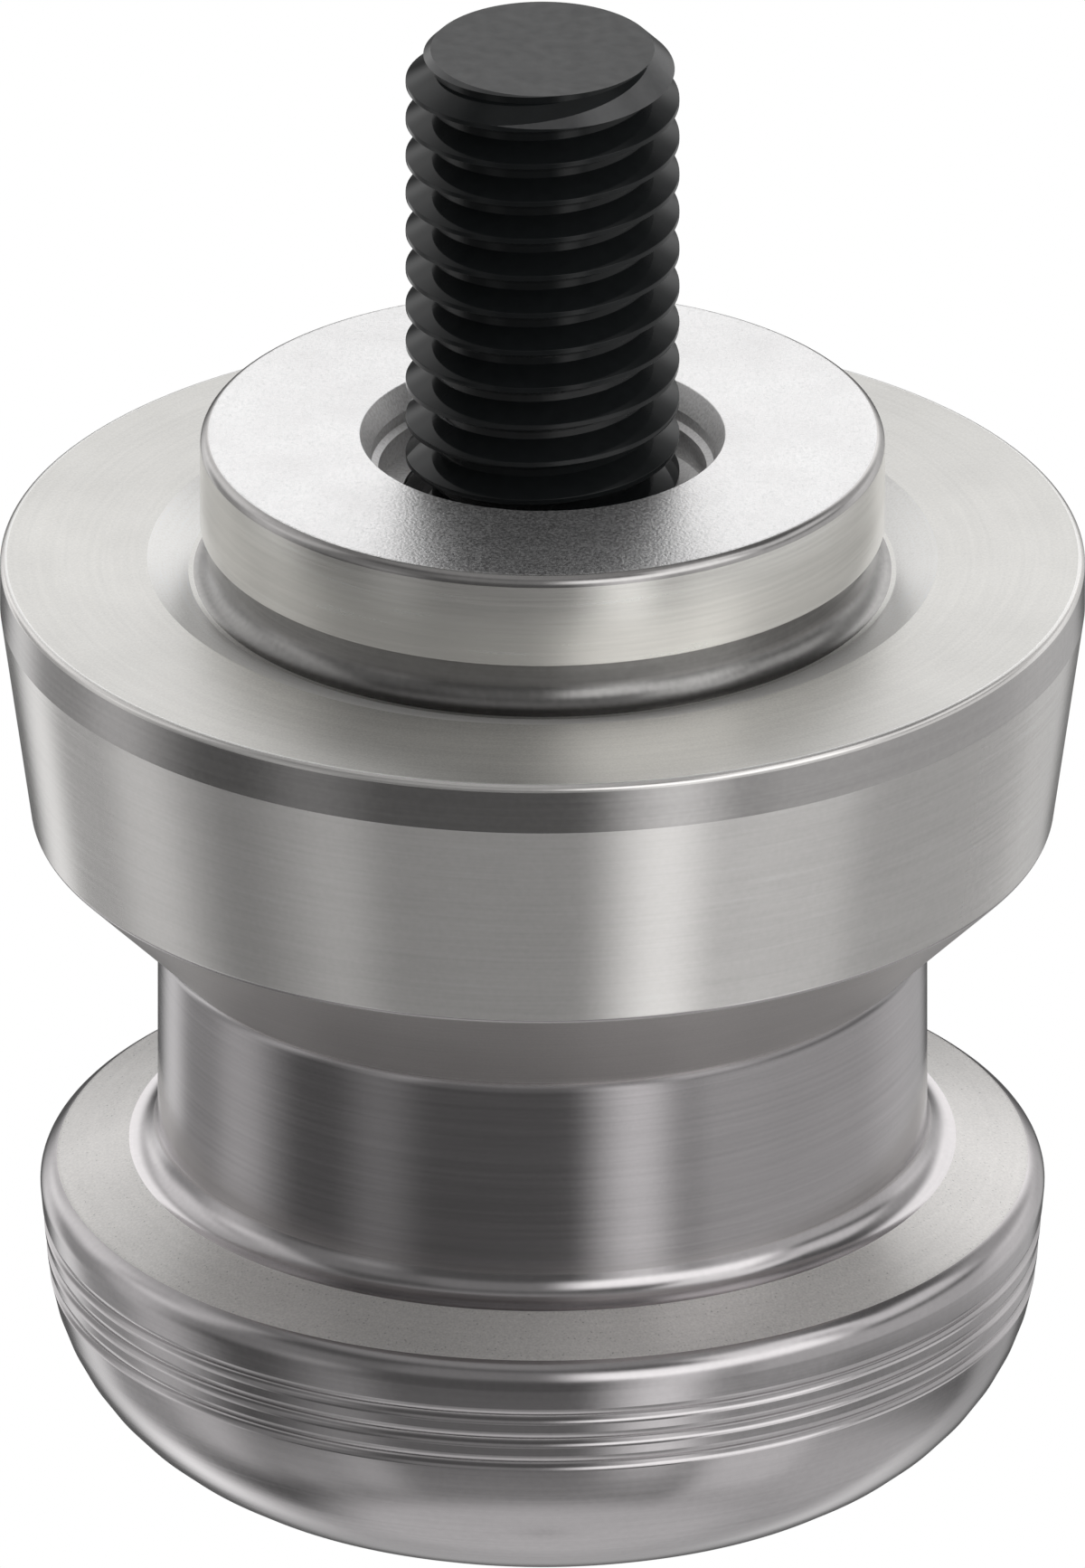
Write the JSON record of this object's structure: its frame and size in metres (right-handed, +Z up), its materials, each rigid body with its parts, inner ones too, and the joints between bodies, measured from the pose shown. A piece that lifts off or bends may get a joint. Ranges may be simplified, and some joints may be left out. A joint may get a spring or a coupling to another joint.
{
  "type": "clamping pin",
  "caption": "Turned steel clamping pin with a locating spigot, tapered collar, waist and rounded clamping head, held to a plate by a socket head screw through its bore.",
  "frame": {"origin": "centre of the foot, the flat ring that the pin stands on, on the pin's axis", "axes": "+Z up the pin's axis towards the screw's tip; the pin is round, so +X and +Y are any two directions across it"},
  "size_m": [0.0396, 0.0396, 0.0556],
  "materials": {
    "turned_steel": "hardened steel, finely turned and ground, bright with faint lathe marks",
    "black_steel": "black oxide, slightly oily semi-gloss"
  },
  "bodies": {
    "root": {"clamping_pin": "turned_steel", "socket_screw": "black_steel"}
  },
  "joints": []
}
